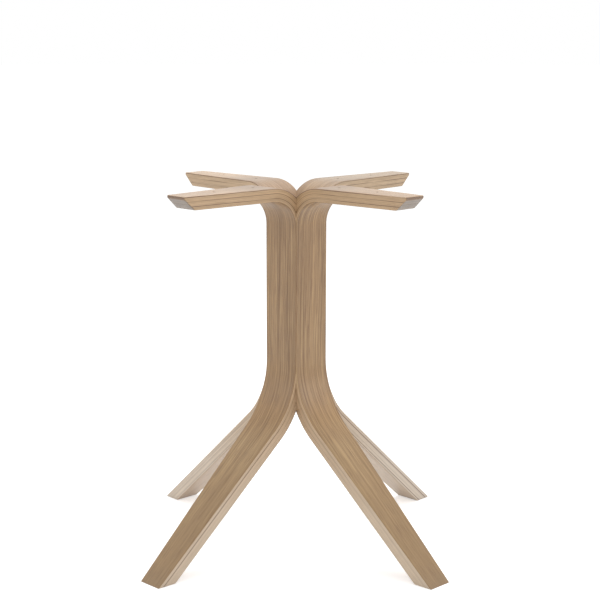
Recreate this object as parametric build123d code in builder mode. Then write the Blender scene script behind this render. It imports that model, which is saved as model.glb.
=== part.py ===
from build123d import *
from math import cos, radians, sin, tan
import os

# Four-leg table base: four bent and laminated wooden legs, mitred together into a square column.
# Lengths are in millimetres and angles in degrees. The origin lies on the floor below the middle of
# the column, with Z up. Every leg is the same bent plank, which is drawn once, reaching out along X,
# and then turned to its own corner.

# The bent plank, seen from its side
height = 710.0
plank_thickness = 26.0
column_side = 83.0
arm_reach = 301.0
arm_bend_radius = 52.0
knee_height = 367.0
knee_radius = 165.0
shin_lean = 49.0
tip_land = 5.0
tip_undercut = 23.0

# The bent plank, seen from above: it is as wide as the column, then tapers to both ends
tip_width = 48.0
foot_width = 53.0
arm_taper_start = 47.0
shin_taper_start = 60.0
taper_blend_radius = 80.0

# Corners of the plank, broken by a small chamfer. Faces that turn by less than the seam angle run
# smoothly into each other, so they have no corner between them.
edge_chamfer = 1.5
seam_angle = 10.0

# Screw holes through the arms, which take the table top, with their distance from the column's middle
inner_screw_reach = 114.0
outer_screw_reach = 210.0
screw_hole_diameter = 5.5
screw_head_diameter = 11.0
screw_head_angle = 90.0

# Loose tongues hidden in the mitres
tongue_thickness = 4.0
tongue_width = 20.0
tongue_length = 240.0
tongue_reach = 37.0
tongue_face_clearance = 0.1
tongue_end_clearance = 0.5

# Where the legs and the mitres between them lie, as directions from the X axis
leg_directions = {"front_left": 225.0, "front_right": 315.0, "back_right": 45.0, "back_left": 135.0}
mitre_directions = {"front": 270.0, "right": 0.0, "back": 90.0, "left": 180.0}
mitre_angle = 45.0

# Worked out from the sizes above
column_face = column_side / 2
arm_underside = height - plank_thickness
arm_bend_centre = Vector(column_face + arm_bend_radius, arm_underside - arm_bend_radius)
knee_centre = Vector(column_face + knee_radius, knee_height)
shin_top = knee_centre - Vector(cos(radians(shin_lean)), sin(radians(shin_lean))) * knee_radius
foot_reach = shin_top.X + shin_top.Y * tan(radians(shin_lean))
shin_length = (foot_reach + column_side) / sin(radians(shin_lean))
column_middle = (arm_bend_centre.Y + knee_height) / 2


def plank_face(inset, reach):
    """Side view of one face of the plank, from the arm's end to below the floor.

    The outer face has no inset, and the inner face is inset by the thickness of the plank.
    """
    arm = Line((reach, arm_underside + inset), (arm_bend_centre.X, arm_underside + inset))
    arm_bend = CenterArc(arm_bend_centre, arm_bend_radius + inset, 90, 90)
    column = Line(arm_bend @ 1, (column_face - inset, knee_height))
    knee = CenterArc(knee_centre, knee_radius + inset, 180, shin_lean)
    shin = PolarLine(knee @ 1, shin_length, angle=shin_lean - 90)
    return arm @ 0, shin @ 1


def plank_width(reach, end_width, taper_start):
    """Half of the plank from above: straight at the column, then tapered to its end."""
    side_line = column_side / 2
    FilletPolyline(
        (0, side_line), (taper_start, side_line), (reach, end_width / 2), radius=taper_blend_radius
    )
    Polyline((0, side_line), (0, 0), (reach, 0), (reach, end_width / 2))


def sharp_edges(part):
    """Edges where two faces meet in a corner, without the seams where one runs on into the next."""
    sharp = ShapeList()
    for edge in part.edges():
        normals = [face.normal_at(edge @ 0.5) for face in part.faces() if edge in face.edges()]
        if normals[0].get_angle(normals[1]) > seam_angle:
            sharp.append(edge)
    return sharp


# The leg, reaching out along X
with BuildPart() as plank:
    # From above: the arm upwards from the middle of the column, and the shin downwards
    with BuildSketch(Plane.XY.offset(column_middle)):
        with BuildLine():
            plank_width(arm_reach, tip_width, arm_taper_start)
        make_face()
        mirror(about=Plane.XZ)
    extrude(amount=height - column_middle)
    with BuildSketch(Plane.XY.offset(column_middle)):
        with BuildLine():
            plank_width(foot_reach, foot_width, shin_taper_start)
        make_face()
        mirror(about=Plane.XZ)
    extrude(amount=-column_middle)

    # From its side: the two bends, with the undercut end of the arm
    with BuildSketch(Plane.XZ):
        with BuildLine():
            undercut_start, outer_end = plank_face(0, arm_reach - tip_undercut)
            tip_top, inner_end = plank_face(plank_thickness, arm_reach)
            Polyline(undercut_start, (arm_reach, height - tip_land), tip_top)
            Line(outer_end, inner_end)
        make_face()
    extrude(amount=column_side, both=True, mode=Mode.INTERSECT)
    chamfer(sharp_edges(plank.part), length=edge_chamfer)

    # The two mitres, which let four such legs close around the column's middle
    split(bisect_by=Plane.XZ.rotated((0, 0, mitre_angle)), keep=Keep.TOP)
    split(bisect_by=Plane.XZ.rotated((0, 0, -mitre_angle)), keep=Keep.BOTTOM)

    # Grooves for the tongues, across both mitres
    with Locations((0, 0, column_middle)):
        with PolarLocations(tongue_reach, 2, -mitre_angle, 2 * mitre_angle, endpoint=True):
            Box(
                tongue_thickness + 2 * tongue_face_clearance,
                tongue_width + 2 * tongue_end_clearance,
                tongue_length + 2 * tongue_end_clearance,
                mode=Mode.SUBTRACT,
            )

    # Screw holes through the arm, countersunk from below
    for reach in (inner_screw_reach, outer_screw_reach):
        with Locations(Plane((reach, 0, arm_underside), z_dir=(0, 0, -1))):
            CounterSinkHole(
                screw_hole_diameter / 2, screw_head_diameter / 2, 2 * plank_thickness, screw_head_angle
            )

os.makedirs("parts", exist_ok=True)

for corner, direction in leg_directions.items():
    with BuildPart() as leg:
        add(plank.part, rotation=(0, 0, direction))
    leg.part.label = f"{corner}_leg"
    export_step(leg.part, f"parts/{corner}_leg.step")

for mitre, direction in mitre_directions.items():
    with BuildPart() as tongue:
        with Locations((0, 0, column_middle)):
            with PolarLocations(tongue_reach, 1, direction):
                Box(tongue_thickness, tongue_width, tongue_length)
    tongue.part.label = f"{mitre}_tongue"
    export_step(tongue.part, f"parts/{mitre}_tongue.step")
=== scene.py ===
# %% [markdown]
# # A four-leg table base in laminated oak
# The real object is a pedestal for a table top. Four planks are each pressed from thin layers of
# oak and bent twice: once for the flat arm that carries the top, and once for the foot that
# splays out. The planks are mitred, so four of them close into one square column.
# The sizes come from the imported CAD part, which loads first and stays fixed. Everything built
# here lies in the same frame, in metres, with the floor at zero height.

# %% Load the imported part
import bpy
import bmesh
import math
from mathutils import Matrix, Vector


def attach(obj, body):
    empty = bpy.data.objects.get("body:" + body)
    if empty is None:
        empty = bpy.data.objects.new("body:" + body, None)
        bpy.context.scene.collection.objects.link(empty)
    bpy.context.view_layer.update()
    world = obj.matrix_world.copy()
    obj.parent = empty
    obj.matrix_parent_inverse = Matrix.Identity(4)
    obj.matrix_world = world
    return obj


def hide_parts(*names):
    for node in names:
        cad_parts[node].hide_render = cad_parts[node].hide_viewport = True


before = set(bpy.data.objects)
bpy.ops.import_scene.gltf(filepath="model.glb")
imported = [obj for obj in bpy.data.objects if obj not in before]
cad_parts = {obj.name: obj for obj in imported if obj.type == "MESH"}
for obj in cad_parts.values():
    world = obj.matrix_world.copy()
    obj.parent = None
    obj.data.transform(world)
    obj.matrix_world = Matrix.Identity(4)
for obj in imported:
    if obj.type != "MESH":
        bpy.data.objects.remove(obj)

scene = bpy.context.scene
bpy.context.view_layer.update()
print("CAD nodes:", sorted(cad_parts))

# %% [markdown]
# ## The camera
# The photograph looks at the base from the front, a little from above, with the lens of a product
# photographer: far away and zoomed in, so the legs keep their proportions. The place, the tilt
# and the lens were worked out from the edges of the legs, so the camera needs no shift.

# %% Camera
photo_side = 600
camera_place = Vector((0.0268, -2.8116, 1.0198))
camera_yaw = math.radians(-0.401)
camera_pitch = math.radians(10.836)
camera_roll = math.radians(-0.053)
focal_length_px = 1471.1
sensor_width_mm = 36.0
view_depth = 50.0

camera_data = bpy.data.cameras.new("camera")
camera_data.sensor_width = sensor_width_mm
camera_data.lens = focal_length_px / photo_side * sensor_width_mm
camera_data.clip_end = view_depth
camera = bpy.data.objects.new("camera", camera_data)
scene.collection.objects.link(camera)
turn = Matrix.Rotation(-camera_yaw, 4, "Z")
tilt = Matrix.Rotation(math.pi / 2 - camera_pitch, 4, "X")
roll = Matrix.Rotation(-camera_roll, 4, "Z")
camera.matrix_world = Matrix.Translation(camera_place) @ turn @ tilt @ roll
scene.camera = camera
print("lens:", round(camera_data.lens, 1), "mm")

# %% [markdown]
# ## The plank's path
# Each leg is the same plank. Its sizes are the ones that the CAD part was drawn with. Seen from
# the side, its outer face runs from the arm's end, around a tight bend, down the column, around a
# wide bend and down the foot. Keeping these lengths as names makes the bends easy to follow.

# %% Sizes of the plank
height = 0.710
thickness = 0.026
column_side = 0.083
arm_reach = 0.301
arm_bend_radius = 0.052
knee_height = 0.367
knee_radius = 0.165
shin_lean = math.radians(49)
tip_land = 0.005
tip_undercut = 0.023
tip_width = 0.048
foot_width = 0.053
arm_taper_start = 0.047
shin_taper_start = 0.060

column_face = column_side / 2
arm_underside = height - thickness
arm_bend_centre = Vector((column_face + arm_bend_radius, 0, arm_underside - arm_bend_radius))
knee_centre = Vector((column_face + knee_radius, 0, knee_height))
shin_outward = Vector((math.cos(shin_lean), 0, math.sin(shin_lean)))
shin_down = Vector((math.sin(shin_lean), 0, -math.cos(shin_lean)))
shin_top = knee_centre - shin_outward * knee_radius
foot_reach = shin_top.x + shin_top.z * math.tan(shin_lean)

arm_length = arm_reach - arm_bend_centre.x
arm_bend_length = math.pi / 2 * (arm_bend_radius + thickness / 2)
column_length = arm_bend_centre.z - knee_height
knee_length = shin_lean * (knee_radius + thickness / 2)
shin_length = (foot_reach - shin_top.x) / math.sin(shin_lean)
plank_length = arm_length + arm_bend_length + column_length + knee_length + shin_length
print("plank:", round(plank_length, 3), "m long; its foot reaches", round(foot_reach, 4), "m")

# %% [markdown]
# ## Bending the plank
# In the workshop, the glued layers are pressed around a form. Here a flat section does the same:
# spin() pushes it straight along the arm, turns it around the first bend, slides it down the
# column, turns it around the knee and slides it down the foot. A spin with no angle is a straight
# push. The foot is left a little long at first, because it is sawn off level with the floor
# later.

# %% Spin a section along the path
arm_steps = 12
arm_bend_steps = 30
column_steps = 10
knee_steps = 24
shin_steps = 14
section_columns = 4
spare_length = thickness * 2


def spin_on(mesh, last, centre, angle, push, steps):
    """Pushes or turns the open end of the plank, and returns the new open end."""
    step = bmesh.ops.spin(
        mesh,
        geom=last,
        cent=centre,
        axis=Vector((0, 1, 0)),
        dvec=push,
        angle=angle,
        steps=steps,
        use_duplicate=False,
        use_merge=False,
    )
    return step["geom_last"]


def bend_plank(mesh):
    """Makes the bent plank with parallel sides, reaching out along X."""
    bmesh.ops.create_grid(mesh, x_segments=section_columns, y_segments=1, size=0.5)
    stand_up = Matrix(((0, 0, 1, 0), (1, 0, 0, 0), (0, 1, 0, 0), (0, 0, 0, 1)))
    to_size = Matrix.Diagonal((1, column_side, thickness, 1))
    to_tip = Matrix.Translation((arm_reach, 0, height - thickness / 2))
    bmesh.ops.transform(mesh, matrix=to_tip @ to_size @ stand_up, verts=mesh.verts)
    last = mesh.verts[:] + mesh.edges[:] + mesh.faces[:]
    no_move = Vector((0, 0, 0))
    along_arm = Vector((-arm_length / arm_steps, 0, 0))
    down_column = Vector((0, 0, -column_length / column_steps))
    down_shin = shin_down * ((shin_length + spare_length) / shin_steps)
    last = spin_on(mesh, last, no_move, 0, along_arm, arm_steps)
    last = spin_on(mesh, last, arm_bend_centre, -math.pi / 2, no_move, arm_bend_steps)
    last = spin_on(mesh, last, no_move, 0, down_column, column_steps)
    last = spin_on(mesh, last, knee_centre, -shin_lean, no_move, knee_steps)
    spin_on(mesh, last, no_move, 0, down_shin, shin_steps)


plank_mesh = bmesh.new()
bend_plank(plank_mesh)
low = [min(v.co[i] for v in plank_mesh.verts) for i in range(3)]
high = [max(v.co[i] for v in plank_mesh.verts) for i in range(3)]
print("bent plank from", [round(v, 4) for v in low], "to", [round(v, 4) for v in high])

# %% [markdown]
# ## Tapering and trimming
# The bent plank is still as wide as the column all along. The joiner saws the arm and the foot to
# a taper and trims both ends. Here the taper moves points sideways, and bisect_plane() saws along
# a plane and drops the offcut. The opening that a saw cut leaves is closed again, so the plank
# stays a solid.

# %% Taper and trim
saw_accuracy = 1e-7
column_middle = (arm_bend_centre.z + knee_height) / 2


def half_width(point):
    """Half of the plank's width where this point lies."""
    if point.z > column_middle:
        start, end, end_width = arm_taper_start, arm_reach, tip_width
    else:
        start, end, end_width = shin_taper_start, foot_reach, foot_width
    share = max(0.0, (point.x - start) / (end - start))
    return column_side / 2 + share * (end_width - column_side) / 2


def close_openings(mesh):
    """Closes each open end with one face."""
    rim = [edge for edge in mesh.edges if edge.is_boundary]
    bmesh.ops.holes_fill(mesh, edges=rim, sides=0)


def saw(mesh, point, normal, above=-1.0):
    """Saws what lies above a height along a plane, drops what is beyond it and closes the cut."""
    sawn = [v for v in mesh.verts if v.co.z > above]
    reached = set(sawn)
    sawn += [e for e in mesh.edges if reached.issuperset(e.verts)]
    sawn += [f for f in mesh.faces if reached.issuperset(f.verts)]
    bmesh.ops.bisect_plane(
        mesh, geom=sawn, dist=saw_accuracy, plane_co=point, plane_no=normal, clear_outer=True
    )
    close_openings(mesh)


for vertex in plank_mesh.verts:
    vertex.co.y *= half_width(vertex.co) / (column_side / 2)
close_openings(plank_mesh)
saw(plank_mesh, Vector((0, 0, 0)), Vector((0, 0, -1)))
undercut_normal = Vector((thickness - tip_land, 0, -tip_undercut))
saw(plank_mesh, Vector((arm_reach, 0, height - tip_land)), undercut_normal, above=column_middle)
bmesh.ops.recalc_face_normals(plank_mesh, faces=plank_mesh.faces[:])
print("trimmed plank:", len(plank_mesh.faces), "faces")

# %% [markdown]
# ## Rounding and mitring
# A router rounds every corner of the plank, and two long saw cuts make the mitres, which stay
# sharp. Before that, the faces of the two sawn ends are given a second material, because end
# grain looks unlike the rest. They are easy to find now: one lies on the floor, and one faces
# away at the tip.

# %% Mark the sawn ends, round and mitre
oak_slot = 0
end_slot = 1
floor_margin = 1e-5
least_outward = 0.5
most_sideways = 0.1
corner_turn = math.radians(20)
edge_rounding = 0.0020
rounding_steps = 3
mitre_angle = math.radians(45)

sawn_ends = 0
for face in plank_mesh.faces:
    middle = face.calc_center_median()
    at_floor = middle.z < floor_margin
    at_tip = face.normal.x > least_outward and middle.z > arm_underside
    if at_floor or at_tip and abs(face.normal.y) < most_sideways:
        face.material_index = end_slot
        sawn_ends += 1
print("sawn ends:", sawn_ends, "faces")

corners = [edge for edge in plank_mesh.edges if edge.calc_face_angle(0.0) > corner_turn]
bmesh.ops.bevel(
    plank_mesh,
    geom=corners,
    offset=edge_rounding,
    offset_type="OFFSET",
    affect="EDGES",
    segments=rounding_steps,
    profile=0.5,
    material=-1,
    clamp_overlap=True,
)
for side in (1, -1):
    mitre_normal = Vector((-math.sin(mitre_angle), side * math.cos(mitre_angle), 0))
    saw(plank_mesh, Vector((0, 0, 0)), mitre_normal)
bmesh.ops.recalc_face_normals(plank_mesh, faces=plank_mesh.faces[:])
open_edges = sum(not edge.is_manifold for edge in plank_mesh.edges)
print("plank:", len(plank_mesh.faces), "faces,", open_edges, "open edges")

# %% [markdown]
# ## Drilling and grooving
# Two screw holes go up through each arm, countersunk from below for the screws that hold the top.
# A groove in each mitre takes half of a loose tongue. Both are cut with a boolean, which
# subtracts one closed solid from another. The drill is one profile spun a full turn, and the
# groove cutter is a box.

# %% Cutters
screw_reaches = (0.114, 0.210)
screw_hole_radius = 0.00275
screw_head_radius = 0.0055
tongue_reach = 0.037
groove_size = Vector((0.0042, 0.021, 0.241))
drill_steps = 32
cutter_margin = 0.001
weld_distance = 1e-6


def add_drill(mesh, reach):
    """A countersink drill, standing below the arm and pointing up."""
    low, high = arm_underside - cutter_margin, height + cutter_margin
    shoulder = arm_underside + screw_head_radius - screw_hole_radius
    outline = [
        (0, low),
        (screw_head_radius + cutter_margin, low),
        (screw_hole_radius, shoulder),
        (screw_hole_radius, high),
        (0, high),
    ]
    points = [mesh.verts.new((reach + across, 0, up)) for across, up in outline]
    edges = [mesh.edges.new(pair) for pair in zip(points, points[1:])]
    bmesh.ops.spin(
        mesh,
        geom=points + edges,
        cent=Vector((reach, 0, 0)),
        axis=Vector((0, 0, 1)),
        angle=math.tau,
        steps=drill_steps,
        use_merge=True,
    )


def add_groove(mesh, angle):
    """A box that takes out half a tongue's room on this side of the mitre."""
    place = Matrix.Rotation(angle, 4, "Z") @ Matrix.Translation((tongue_reach, 0, column_middle))
    size = Matrix.Diagonal((*groove_size, 1))
    bmesh.ops.create_cube(mesh, size=1.0, matrix=place @ size)


cutter_mesh = bmesh.new()
for reach in screw_reaches:
    add_drill(cutter_mesh, reach)
for angle in (mitre_angle, -mitre_angle):
    add_groove(cutter_mesh, angle)
bmesh.ops.remove_doubles(cutter_mesh, verts=cutter_mesh.verts[:], dist=weld_distance)
bmesh.ops.recalc_face_normals(cutter_mesh, faces=cutter_mesh.faces[:])
print("cutters:", len(cutter_mesh.faces), "faces")

# %% [markdown]
# ### Cutting with a modifier
# The boolean is a modifier, so it works on objects. Both meshes become objects for a moment, and
# the result is read back as a new mesh. The plank gets two empty material slots first: without
# them the boolean would forget which faces are sawn ends.

# %% Subtract the cutters
sharp_turn = math.radians(40)


def as_object(mesh, name):
    """Puts a bmesh into a new object of the scene."""
    data = bpy.data.meshes.new(name)
    mesh.to_mesh(data)
    mesh.free()
    made = bpy.data.objects.new(name, data)
    scene.collection.objects.link(made)
    return made


plank = as_object(plank_mesh, "plank")
cutter = as_object(cutter_mesh, "cutter")
for _ in ("oak", "sawn ends"):
    plank.data.materials.append(None)
subtract = plank.modifiers.new("drill and groove", "BOOLEAN")
subtract.operation = "DIFFERENCE"
subtract.solver = "EXACT"
subtract.object = cutter
bpy.context.view_layer.update()
ready = plank.evaluated_get(bpy.context.evaluated_depsgraph_get())
finished = bpy.data.meshes.new_from_object(ready)
finished.name = "finished plank"
for used in (plank, cutter):
    spent = used.data
    bpy.data.objects.remove(used)
    bpy.data.meshes.remove(spent)
finished.shade_smooth()
finished.set_sharp_from_angle(angle=sharp_turn)
sawn_area = sum(face.area for face in finished.polygons if face.material_index == end_slot)
print("finished plank:", len(finished.polygons), "faces,", round(sawn_area * 1e4, 1), "cm2 sawn")

# %% [markdown]
# ## Coordinates that follow the grain
# Wood grain runs along the plank and bends with it, and the glue lines lie at fixed depths below
# its faces. A pattern on plain X, Y and Z would run straight through the bends. So every point of
# the mesh gets its own place in the flat, unbent plank: how far along, how far across and how
# deep. These three numbers are stored in the attribute "plank", and the wood material reads them.
# A second attribute holds the distance from the nearest mitre, which gets a thin glue line of its
# own.


# %% Unbend each point
def unbent(point):
    """Where a point of the bent plank lay when flat: along, across and deep, in metres."""
    from_arm = point - arm_bend_centre
    from_knee = point - knee_centre
    middle = thickness / 2
    if from_arm.x > 0 and point.z > column_middle:
        return arm_reach - point.x, point.y, point.z - arm_underside
    if from_arm.z > 0:
        turned = math.atan2(-from_arm.x, from_arm.z)
        depth = math.hypot(from_arm.x, from_arm.z) - arm_bend_radius
        return arm_length + turned * (arm_bend_radius + middle), point.y, depth
    along = arm_length + arm_bend_length
    if from_knee.z > 0:
        return along + arm_bend_centre.z - point.z, point.y, column_face - point.x
    along += column_length
    turned = math.atan2(-from_knee.z, -from_knee.x)
    if 0 <= turned <= shin_lean:
        depth = math.hypot(from_knee.x, from_knee.z) - knee_radius
        return along + turned * (knee_radius + middle), point.y, depth
    past = (point - shin_top).dot(shin_down)
    depth = (point - shin_top).dot(-shin_outward)
    return along + knee_length + past, point.y, depth


places = [value for v in finished.vertices for value in unbent(v.co)]
grain_place = finished.attributes.new("plank", "FLOAT_VECTOR", "POINT")
grain_place.data.foreach_set("vector", places)
from_mitre = [(v.co.x - abs(v.co.y)) * math.sqrt(0.5) for v in finished.vertices]
mitre_distance = finished.attributes.new("from_mitre", "FLOAT", "POINT")
mitre_distance.data.foreach_set("value", from_mitre)
print("along:", round(min(places[0::3]), 4), "to", round(max(places[0::3]), 4))
print("deep:", round(min(places[2::3]), 4), "to", round(max(places[2::3]), 4))

# %% [markdown]
# ## Four legs from one plank
# The base has four like legs, so the finished plank is copied and turned to each corner. Turning
# the mesh, and not the object, leaves every object at the origin, as the exporter wants it.

# %% Place the legs
leg_directions = {
    "front_left_leg": 225,
    "front_right_leg": 315,
    "back_right_leg": 45,
    "back_left_leg": 135,
}
legs = {}
for node, direction in leg_directions.items():
    data = finished.copy()
    data.name = node + "_wood"
    data.transform(Matrix.Rotation(math.radians(direction), 4, "Z"))
    leg = bpy.data.objects.new(node + "_wood", data)
    scene.collection.objects.link(leg)
    even_shading = leg.modifiers.new("even shading", "WEIGHTED_NORMAL")
    even_shading.mode = "FACE_AREA"
    even_shading.keep_sharp = True
    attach(leg, "root")
    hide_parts(node)
    legs[node] = leg
bpy.data.meshes.remove(finished)
print("legs:", sorted(legs))

# %% [markdown]
# ## Oak, sliced and pressed
# Three things make this wood look real. The wide faces are oak veneer: long fibres, soft streaks
# and short dark pores, all along the plank. The edges show the layers one above another, each a
# little lighter or darker, with a thin glue line between them. And a matt lacquer gives a faint,
# broad shine. One material can do all of it, because the pattern is made in the flat plank's own
# coordinates: noise that is stretched along the plank looks like fibres on its faces and like
# dots at its sawn ends. A few helpers come first, because every material here is put together
# from the same kinds of nodes.


# %% Helpers for nodes
def new_material(name):
    """A material with an empty node tree, and that tree."""
    material = bpy.data.materials.new(name)
    material.use_nodes = True
    material.node_tree.nodes.clear()
    return material, material.node_tree


def add_node(tree, kind, inputs=None, **settings):
    """Adds a node, sets it, and fills its inputs with numbers or with links."""
    node = tree.nodes.new(kind)
    for setting, value in settings.items():
        setattr(node, setting, value)
    for socket, value in (inputs or {}).items():
        if isinstance(value, bpy.types.NodeSocket):
            tree.links.new(value, node.inputs[socket])
        else:
            node.inputs[socket].default_value = value
    return node


def math_node(tree, operation, first, second=0.5, third=0.5):
    """A Math node's result."""
    node = add_node(tree, "ShaderNodeMath", {0: first, 1: second, 2: third}, operation=operation)
    return node.outputs[0]


def spread(tree, value, low, high, to_low=0.0, to_high=1.0):
    """Spreads the range from low to high over a new one, and clips what lies outside."""
    ends = {"Value": value, "From Min": low, "From Max": high, "To Min": to_low, "To Max": to_high}
    return add_node(tree, "ShaderNodeMapRange", ends).outputs[0]


def stored(tree, name):
    """The outputs of a node that reads an attribute of the mesh."""
    node = add_node(
        tree, "ShaderNodeAttribute", attribute_name=name, attribute_type="GEOMETRY"
    )
    return node.outputs


def stretched_noise(tree, place, waves, detail, roughness):
    """Noise with this many waves a metre in each of the three directions."""
    stretched = add_node(tree, "ShaderNodeVectorMath", {0: place, 1: waves}, operation="MULTIPLY")
    noise = add_node(
        tree,
        "ShaderNodeTexNoise",
        {"Vector": stretched.outputs[0], "Scale": 1.0, "Detail": detail, "Roughness": roughness},
    )
    return noise.outputs["Fac"]


print("node helpers: new_material, add_node, math_node, spread, stored, stretched_noise")


# %% Helpers for colours
def srgb(red, green, blue):
    """A colour given as in a picture, from 0 to 255, turned into linear light."""
    shares = [value / 255 for value in (red, green, blue)]
    linear = [s / 12.92 if s <= 0.04045 else ((s + 0.055) / 1.055) ** 2.4 for s in shares]
    return (*linear, 1.0)


def shaded(colour, share):
    """The same colour, lighter or darker."""
    return (*(value * share for value in colour[:3]), 1.0)


def mixed(first, second, share):
    """A colour part way from the first to the second."""
    return tuple(a + (b - a) * share for a, b in zip(first, second))


def ramp(tree, value, stops):
    """A Color Ramp's colour, from (place, colour) stops."""
    node = add_node(tree, "ShaderNodeValToRGB", {"Fac": value})
    for _ in stops[2:]:
        node.color_ramp.elements.new(1.0)
    for element, (place, colour) in zip(node.color_ramp.elements, stops):
        element.position = place
        element.color = colour
    return node.outputs["Color"]


def blend(tree, share, first, second, mode="MIX"):
    """A Mix node's colour."""
    inputs = {0: share, 6: first, 7: second}
    return add_node(
        tree, "ShaderNodeMix", inputs, data_type="RGBA", blend_type=mode
    ).outputs[2]


def toned(tree, colour, tone):
    """A colour multiplied by a tone."""
    return blend(tree, 1.0, colour, tone, "MULTIPLY")


print("middle grey in linear light:", round(srgb(128, 128, 128)[0], 3))

# %% [markdown]
# ### Grain
# Wood is never one pattern. Here it is seven: soft clouds, streaks a few millimetres wide, fine
# fibres, pale flecks, short dark pores, the scuffs of use, and one that lets glue lines fade.
# Each is noise that is stretched along the plank. A slow drift bends them all a little sideways,
# as real grain wanders. Clouds, streaks and fibres together say how light the wood is at each
# point, and towards the foot they grow calmer, as in the photograph.

# %% Grain
# Each noise has its waves a metre along, across and deep, then its detail and its roughness
drift_noise = ((3.0, 9.0, 9.0), 1.0, 0.5)
drift_reach = 0.018
grain_noises = {
    "clouds": ((1.4, 30.0, 30.0), 2.0, 0.5),
    "streaks": ((3.0, 230.0, 230.0), 2.0, 0.5),
    "fibres": ((14.0, 620.0, 620.0), 3.0, 0.6),
    "flecks": ((7.0, 400.0, 400.0), 1.0, 0.5),
    "pores": ((22.0, 1000.0, 1000.0), 1.0, 0.5),
    "scuffs": ((25.0, 40.0, 40.0), 3.0, 0.6),
    "fading": ((9.0, 90.0, 90.0), 1.0, 0.5),
}
noise_middle = 0.5
cloud_share = 0.2
streak_share = 0.5
fibre_share = 0.3
grain_range = (0.39, 0.61)
pore_range = (0.58, 0.64)
calm_at_foot = 0.6
calm_start = plank_length - shin_length - 0.8 * knee_length
calm_end = plank_length - 0.1


def read_grain(tree, offset):
    """A point's place in the flat plank and all its noises, by name."""
    flat = stored(tree, "plank")["Vector"]
    move = add_node(tree, "ShaderNodeVectorMath", {0: flat, 1: offset}, operation="ADD")
    moved = move.outputs[0]
    along, across, deep = add_node(tree, "ShaderNodeSeparateXYZ", {0: moved}).outputs
    drift = stretched_noise(tree, moved, *drift_noise)
    sideways = math_node(tree, "MULTIPLY_ADD", drift, drift_reach, across)
    bent = add_node(tree, "ShaderNodeCombineXYZ", {0: along, 1: sideways, 2: deep}).outputs[0]
    grain = {name: stretched_noise(tree, bent, *noise) for name, noise in grain_noises.items()}
    grain["drift"] = drift
    grain["along"], _, grain["deep"] = add_node(tree, "ShaderNodeSeparateXYZ", {0: flat}).outputs
    grain["towards foot"] = spread(tree, grain["along"], calm_start, calm_end)
    grain["in a pore"] = spread(tree, grain["pores"], *pore_range)
    light = math_node(tree, "MULTIPLY", grain["fibres"], fibre_share)
    light = math_node(tree, "MULTIPLY_ADD", grain["streaks"], streak_share, light)
    light = math_node(tree, "MULTIPLY_ADD", grain["clouds"], cloud_share, light)
    calm = math_node(tree, "MULTIPLY", grain["towards foot"], calm_at_foot)
    calmed = {0: calm, 2: spread(tree, light, *grain_range), 3: noise_middle}
    grain["light"] = add_node(tree, "ShaderNodeMix", calmed).outputs[0]
    return grain


print("noises:", ", ".join(grain_noises), "and drift")

# %% [markdown]
# ### Faces
# The outer face is seen on the column and on top of the foot, and the inner face turns up on the
# arm. Both are one oak veneer, painted in two shades: the outer one darker and browner, as painted
# shade, and the inner one paler, as a painted sheen on the arms' tops. Each has a light and a dark
# veneer colour, mixed by the grain. A Color Ramp over the length then multiplies the colour with a
# few tones of painted light and shade.

# %% Veneer on the faces
# painted shade: the outer veneer is the same as the inner one, set darker and browner
outer_veneer_light = srgb(187, 152, 109)
outer_veneer_dark = srgb(136, 103, 64)
pale_fleck = srgb(212, 180, 136)
fleck_range = (0.57, 0.70)
fleck_strength = 0.6
# painted light and shade along the outside: darker from the arm's bend down the column, lighter
# where the shin starts, darker again at the foot
painted_light_and_shade_outside = [
    (0.28, (0.90, 0.87, 0.84, 1.0)),
    (0.50, (0.90, 0.87, 0.82, 1.0)),
    (0.57, (0.90, 0.85, 0.76, 1.0)),
    (0.62, (1.00, 0.95, 0.86, 1.0)),
    (0.70, (1.08, 1.12, 1.14, 1.0)),
    (0.84, (0.94, 0.96, 0.94, 1.0)),
    (1.00, (0.87, 0.88, 0.85, 1.0)),
]
# painted sheen: the inner veneer is set paler than the outer one, for the light on the arms' tops
inner_veneer_light = srgb(210, 184, 158)
inner_veneer_dark = srgb(176, 146, 118)
# the arm's stop, made lighter or darker per leg as painted light on the arm's top
inner_arm_place = 0.10
inner_arm_tone = (1.0, 0.97, 0.92, 1.0)
# painted shade on the inside: darker and browner in the arm's bend, the crease where the arms
# meet, and a little darker under the knee
painted_shade_inside = [
    (0.17, (0.72, 0.69, 0.65, 1.0)),
    (0.22, (0.75, 0.64, 0.51, 1.0)),
    (0.34, (0.75, 0.64, 0.51, 1.0)),
    (0.60, (0.90, 0.88, 0.86, 1.0)),
    (0.75, (1.0, 1.0, 1.0, 1.0)),
]


def outer_face(tree, grain):
    """The outer veneer's colour, with pale flecks that end above the foot, and painted light and
    shade.
    """
    colour = blend(tree, grain["light"], outer_veneer_dark, outer_veneer_light)
    flecks = spread(tree, grain["flecks"], *fleck_range, 0.0, fleck_strength)
    above_foot = math_node(tree, "SUBTRACT", 1.0, grain["towards foot"])
    colour = blend(tree, math_node(tree, "MULTIPLY", flecks, above_foot), colour, pale_fleck)
    share = math_node(tree, "DIVIDE", grain["along"], plank_length)
    return toned(tree, colour, ramp(tree, share, painted_light_and_shade_outside))


def inner_face(tree, grain, look):
    """Inner veneer colour, with painted shade in the bend and the leg's painted light on its arm.
    """
    colour = blend(tree, grain["light"], inner_veneer_dark, inner_veneer_light)
    share = math_node(tree, "DIVIDE", grain["along"], plank_length)
    arm = (inner_arm_place, shaded(inner_arm_tone, look["arm painted light"]))
    colour = toned(tree, colour, ramp(tree, share, [arm, *painted_shade_inside]))
    return toned(tree, colour, look["inner tint"])


print("tones along the plank:", len(painted_light_and_shade_outside), "outside,", 1 + len(painted_shade_inside), "inside")

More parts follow.
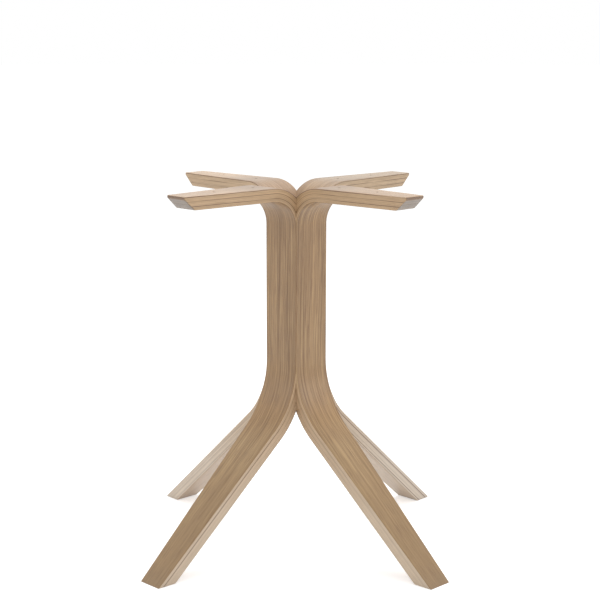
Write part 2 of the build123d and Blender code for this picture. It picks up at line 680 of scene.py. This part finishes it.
# %% [markdown]
# ### Layers and glue lines
# The plank is pressed from ten layers. On its edges each layer has its own shade, and some glue
# lines show dark while others nearly vanish. A Color Ramp over the depth draws them: three stops
# close together make one faint line, and four make a dark one. A strength above one widens the
# line too. On the arms the lines fade in places, so a second ramp with faint lines is mixed in by
# a noise.

# %% Layered edges
upper_layers = srgb(204, 171, 133)
# painted light: the foot's layers are set paler than the arm's, for the floor's bounce light
painted_lit_foot_layers = srgb(224, 203, 179)
glue = srgb(98, 58, 30)
layer_seams = (0.09, 0.18, 0.27, 0.38, 0.50, 0.62, 0.72, 0.83, 0.93)
layer_shades = (1.04, 0.97, 1.0, 0.93, 1.02, 0.98, 1.04, 0.95, 1.0, 0.9)
faint_lines = (0.10, 0.15, 0.30, 0.10, 0.15, 0.25, 0.10, 0.15, 0.35)
line_half_width = 0.034
line_core = 0.013
dark_line = 0.5
fading_range = (0.45, 0.70)
fading_strength = 0.9
knee_top = plank_length - shin_length - knee_length
shin_middle = plank_length - shin_length / 2


def layer_stops(wood, line_strengths):
    """Color Ramp stops for the layers, with the glue lines between them this strong."""
    stops = [(0.0, shaded(wood, layer_shades[0]))]
    for number, (seam, strength) in enumerate(zip(layer_seams, line_strengths)):
        below = shaded(wood, layer_shades[number])
        above = shaded(wood, layer_shades[number + 1])
        line = mixed(below, glue, min(1.0, strength))
        core = line_core * max(1.0, strength)
        middle = (seam - core, seam + core) if strength > dark_line else (seam,)
        stops.append((seam - line_half_width, below))
        stops += [(place, line) for place in middle]
        stops.append((seam + line_half_width, above))
    return stops


def layered_edge(tree, grain, wavy_depth, look):
    """The layers and glue lines, from the arm's to the foot's, painted paler there as bounce
    light.
    """
    upper = ramp(tree, wavy_depth, layer_stops(upper_layers, look["arm lines"]))
    faint = ramp(tree, wavy_depth, layer_stops(upper_layers, faint_lines))
    fade = spread(tree, grain["fading"], *fading_range, 0.0, fading_strength)
    upper = blend(tree, fade, upper, faint)
    lower = ramp(tree, wavy_depth, layer_stops(painted_lit_foot_layers, look["foot lines"]))
    # towards the foot the layers turn paler, as painted bounce light from the floor
    below_knee = spread(tree, grain["along"], knee_top, shin_middle)
    return blend(tree, below_knee, upper, lower)


print("layers:", len(layer_shades), "in", round(thickness * 1000, 1), "mm")

# %% [markdown]
# ### Sawn ends, mitres and wear
# The sawn ends show grey end grain with one dark glue line. Along the column's mitres a thin line
# of glue shows, strongest at half height, and broken up by the streaks. Near the floor the wood
# is worn a little, where shoes and brooms touch it.

# %% Sawn ends, mitres and wear
end_grain = srgb(112, 106, 103)
end_line = srgb(66, 60, 56)
end_of_face = srgb(94, 62, 40)
end_stops = [
    (0.36, end_grain),
    (0.39, end_line),
    (0.43, end_line),
    (0.46, end_grain),
    (0.70, end_grain),
    (0.78, end_of_face),
]
grain_on_end = 0.6
end_share = 0.75
seam_edge = (0.0003, 0.0010)
seam_strength = 0.9
seam_middle = arm_length + arm_bend_length + column_length / 2
seam_reach = (0.3 * column_length, 0.6 * column_length)
seam_fades = (1.25, 0.1)
floor_wear = srgb(120, 104, 90)
worn_length = 0.05
wear_strength = 0.35


def sawn_end_colour(tree, wavy_depth, layers, edge_grain):
    """Grey end grain, through which the layers show a little."""
    ends = ramp(tree, wavy_depth, end_stops)
    ends = blend(tree, grain_on_end, ends, edge_grain, "MULTIPLY")
    return blend(tree, end_share, layers, ends)


def glue_along_mitre(tree, grain):
    """How much of the glue in the mitre shows."""
    line = spread(tree, stored(tree, "from_mitre")["Fac"], *seam_edge, seam_strength, 0.0)
    from_middle = math_node(tree, "SUBTRACT", grain["along"], seam_middle)
    fade = spread(tree, math_node(tree, "ABSOLUTE", from_middle), *seam_reach, *seam_fades)
    return math_node(tree, "MULTIPLY", line, math_node(tree, "MULTIPLY", grain["streaks"], fade))


def wear_near_floor(tree, grain):
    """How worn the wood is."""
    near_floor = spread(tree, grain["along"], plank_length - worn_length, plank_length)
    scuffed = math_node(tree, "MULTIPLY", near_floor, grain["scuffs"])
    return math_node(tree, "MULTIPLY", scuffed, wear_strength)


print("glue shows up to", seam_edge[1] * 1000, "mm from the mitre")

# %% [markdown]
# ### Putting the wood together
# The depth decides what a point shows: veneer just below the two faces, and layers between them.
# The pores are dipped in the same dark brown as the glue, and show more on the faces. The leg's
# tint comes last. The fibres and pores also make a fine relief, and let the lacquer's sheen vary
# a little.

# %% Laminated oak
wave_of_layers = 0.02
outer_skin_depth = 0.035
inner_skin_depth = 0.965
edge_grain_stops = [(0.0, (0.86, 0.84, 0.81, 1.0)), (1.0, (1.08, 1.08, 1.08, 1.0))]
pores_on_edge = 0.1
more_on_face = 0.35
pore_relief = -0.6
relief_strength = 0.25
relief_depth = 0.0003
plain_roughness = 0.30
fibre_roughness = 0.2
scuff_roughness = 0.18
coat_weight = 0.35
coat_roughness = 0.3


def lacquered(tree, grain, wood):
    """Wood of this colour under a matt lacquer."""
    relief = math_node(tree, "MULTIPLY_ADD", grain["in a pore"], pore_relief, grain["fibres"])
    surface = {"Height": relief, "Strength": relief_strength, "Distance": relief_depth}
    bump = add_node(tree, "ShaderNodeBump", surface)
    rough = math_node(tree, "MULTIPLY_ADD", grain["fibres"], fibre_roughness, plain_roughness)
    rough = math_node(tree, "MULTIPLY_ADD", grain["scuffs"], scuff_roughness, rough)
    lacquer = {"Coat Weight": coat_weight, "Coat Roughness": coat_roughness}
    inputs = {"Base Color": wood, "Roughness": rough, "Normal": bump.outputs[0], **lacquer}
    return add_node(tree, "ShaderNodeBsdfPrincipled", inputs)


def laminated_oak(name, look, sawn_end=False):
    """Pale oak for one leg, with the looks that set it apart, so no two legs match."""
    material, tree = new_material(name)
    grain = read_grain(tree, look["offset"])
    depth = math_node(tree, "DIVIDE", grain["deep"], thickness)
    wave = math_node(tree, "SUBTRACT", grain["drift"], noise_middle)
    wavy_depth = math_node(tree, "MULTIPLY_ADD", wave, wave_of_layers, depth)
    edge_grain = ramp(tree, grain["light"], edge_grain_stops)
    layers = toned(tree, layered_edge(tree, grain, wavy_depth, look), edge_grain)
    inner_skin = math_node(tree, "GREATER_THAN", depth, inner_skin_depth)
    outer_skin = math_node(tree, "LESS_THAN", depth, outer_skin_depth)
    if sawn_end:
        wood = sawn_end_colour(tree, wavy_depth, layers, edge_grain)
    else:
        wood = blend(tree, inner_skin, layers, inner_face(tree, grain, look))
        wood = blend(tree, outer_skin, wood, outer_face(tree, grain))
    on_a_face = math_node(tree, "MAXIMUM", inner_skin, outer_skin)
    pore_strength = math_node(tree, "MULTIPLY_ADD", on_a_face, more_on_face, pores_on_edge)
    pores = math_node(tree, "MULTIPLY", grain["in a pore"], pore_strength)
    wood = blend(tree, pores, wood, glue)
    wood = blend(tree, glue_along_mitre(tree, grain), wood, glue)
    wood = blend(tree, wear_near_floor(tree, grain), wood, floor_wear)
    shader = lacquered(tree, grain, toned(tree, wood, look["tint"]))
    add_node(tree, "ShaderNodeOutputMaterial", {"Surface": shader.outputs[0]})
    return material


print("veneer:", round(outer_skin_depth * thickness * 1000, 1), "mm thick")

# %% [markdown]
# ### Four legs, four pieces of veneer
# No two planks come from the same part of a tree. The offset moves each leg to another part of
# the noises, the tints shift its colours a little, a painted light on the arm makes the arm's top
# lighter or darker, and each leg has its own nine glue lines on the arm and on the foot. A leg
# wears two materials: one for its faces and edges, and one for its sawn ends.

# %% Oak for the four legs
# the value on the arm of each leg is painted light: it makes that arm's top lighter or darker
leg_looks = {
    "front_left_leg": {
        "offset": (0.0, 0.0, 0.0),
        "tint": (0.935, 0.935, 0.925, 1.0),
        "inner tint": (1.0, 1.0, 0.99, 1.0),
        "arm painted light": 1.06,
        "arm lines": (0.15, 0.20, 0.95, 0.15, 0.20, 0.75, 0.15, 0.20, 0.95),
        "foot lines": (0.30, 0.15, 1.20, 0.20, 0.30, 0.40, 0.20, 0.25, 0.45),
    },
    "front_right_leg": {
        "offset": (3.1, 0.7, 0.2),
        "tint": (0.95, 0.95, 0.93, 1.0),
        "inner tint": (0.95, 0.92, 0.86, 1.0),
        "arm painted light": 1.02,
        "arm lines": (0.20, 0.15, 0.90, 0.15, 0.20, 0.90, 0.20, 0.15, 0.95),
        "foot lines": (0.20, 0.15, 0.40, 0.20, 0.25, 0.30, 0.20, 0.25, 0.35),
    },
    "back_right_leg": {
        "offset": (6.3, 1.9, 0.4),
        "tint": (0.87, 0.925, 0.99, 1.0),
        "inner tint": (1.10, 1.08, 0.99, 1.0),
        "arm painted light": 0.84,
        "arm lines": (0.20, 0.15, 0.85, 0.15, 0.20, 0.85, 0.15, 0.20, 0.90),
        "foot lines": (0.40, 0.15, 1.70, 0.30, 0.20, 0.45, 0.20, 1.30, 0.30),
    },
    "back_left_leg": {
        "offset": (9.7, 2.6, 0.6),
        "tint": (0.97, 1.02, 1.08, 1.0),
        "inner tint": (1.0, 0.97, 0.90, 1.0),
        "arm painted light": 1.10,
        "arm lines": (0.15, 0.20, 0.80, 0.20, 0.15, 0.90, 0.20, 0.15, 0.90),
        "foot lines": (0.30, 0.20, 0.45, 0.25, 0.60, 0.30, 0.25, 0.55, 0.30),
    },
}
for node, leg in legs.items():
    look = leg_looks[node]
    leg.data.materials[oak_slot] = laminated_oak(node + " oak", look)
    leg.data.materials[end_slot] = laminated_oak(node + " sawn ends", look, sawn_end=True)
print("oak:", [leg.data.materials[oak_slot].name for leg in legs.values()])

# %% [markdown]
# ## Tongues
# Loose tongues line up the mitres while the glue sets. They are strips of beech ply and stay
# hidden in the column, so the CAD nodes themselves are kept and only dressed: one noise,
# stretched upright.

# %% Beech ply for the loose tongues
beech_noise = ((400.0, 400.0, 12.0), 3.0, 0.5)
beech_tones = [(0.35, srgb(176, 138, 100)), (0.65, srgb(214, 182, 144))]
beech_roughness = 0.7

beech, tree = new_material("beech ply")
place = add_node(tree, "ShaderNodeTexCoord").outputs["Object"]
colour = ramp(tree, stretched_noise(tree, place, *beech_noise), beech_tones)
plain = {"Base Color": colour, "Roughness": beech_roughness}
shader = add_node(tree, "ShaderNodeBsdfPrincipled", plain)
add_node(tree, "ShaderNodeOutputMaterial", {"Surface": shader.outputs[0]})
tongues = [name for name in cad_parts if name.endswith("tongue")]
for name in tongues:
    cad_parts[name].data.materials.clear()
    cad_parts[name].data.materials.append(beech)
print("beech:", sorted(tongues))

# %% [markdown]
# ## The studio
# The photograph was taken in front of white, with soft light from all around and a little more
# from above. A white floor and an even white world do this. The floor glows a little, but only
# for the camera and in what gloss mirrors, so that it shows as white without lighting the wood
# from below any more than paper would.

# %% Floor
floor_half = 30.0
floor_gap = 0.0002
paper_white = (0.9, 0.9, 0.9, 1.0)
pure_white = (1.0, 1.0, 1.0, 1.0)
glow = 0.52


def seen_directly(tree):
    """One for the camera's rays and those that gloss or glass sends on, and zero for others."""
    rays = add_node(tree, "ShaderNodeLightPath").outputs
    sent_on = math_node(tree, "MAXIMUM", rays["Is Glossy Ray"], rays["Is Transmission Ray"])
    return math_node(tree, "MAXIMUM", rays["Is Camera Ray"], sent_on)


floor_mesh = bmesh.new()
bmesh.ops.create_grid(floor_mesh, x_segments=1, y_segments=1, size=floor_half)
bmesh.ops.translate(floor_mesh, verts=floor_mesh.verts[:], vec=(0, 0, -floor_gap))
floor = as_object(floor_mesh, "floor")
floor_paper, tree = new_material("white floor")
paper = add_node(tree, "ShaderNodeBsdfDiffuse", {"Color": paper_white})
glow_strength = math_node(tree, "MULTIPLY", seen_directly(tree), glow)
glowing = add_node(tree, "ShaderNodeEmission", {"Color": pure_white, "Strength": glow_strength})
both = add_node(tree, "ShaderNodeAddShader", {0: paper.outputs[0], 1: glowing.outputs[0]})
add_node(tree, "ShaderNodeOutputMaterial", {"Surface": both.outputs[0]})
floor.data.materials.append(floor_paper)
print("floor:", floor_half * 2, "m square")

# %% [markdown]
# ### World and lamps
# The world lights the wood evenly from all sides, while the camera sees it as pure white. Three
# large, square lamps add the rest: one from above and behind, and one from each side, of which
# the right one is brighter. Large lamps make soft shadows.

# %% World and lamps
world_light = 0.62
lamps = {
    "top light": {"place": (0.1, 0.8, 3.0), "aim": (0, 0, 0.5), "side": 2.2, "watts": 38},
    "right light": {"place": (2.6, -0.6, 1.3), "aim": (0, 0, 0.4), "side": 1.6, "watts": 19},
    "left light": {"place": (-2.6, -0.6, 1.3), "aim": (0, 0, 0.4), "side": 1.6, "watts": 11},
}


def add_lamp(name, place, aim, side, watts):
    """A square, soft lamp that points at a spot."""
    data = bpy.data.lights.new(name, "AREA")
    data.shape = "SQUARE"
    data.size = side
    data.energy = watts
    lamp = bpy.data.objects.new(name, data)
    scene.collection.objects.link(lamp)
    looking = (Vector(aim) - Vector(place)).to_track_quat("-Z", "Y")
    lamp.matrix_world = Matrix.Translation(place) @ looking.to_matrix().to_4x4()


world = bpy.data.worlds.new("white studio")
world.use_nodes = True
scene.world = world
tree = world.node_tree
tree.nodes.clear()
strength = math_node(tree, "MULTIPLY_ADD", seen_directly(tree), 1.0 - world_light, world_light)
sky = add_node(tree, "ShaderNodeBackground", {"Color": pure_white, "Strength": strength})
add_node(tree, "ShaderNodeOutputWorld", {"Surface": sky.outputs[0]})
for name, lamp in lamps.items():
    add_lamp(name, **lamp)
scene.view_settings.view_transform = "Standard"
print("lamps:", ", ".join(lamps))

# %% [markdown]
# ## Last step
# The dressed base has to stay inside the box of the CAD part. Here the view layer is updated once
# more.

# %% Update the view layer
bpy.context.view_layer.update()
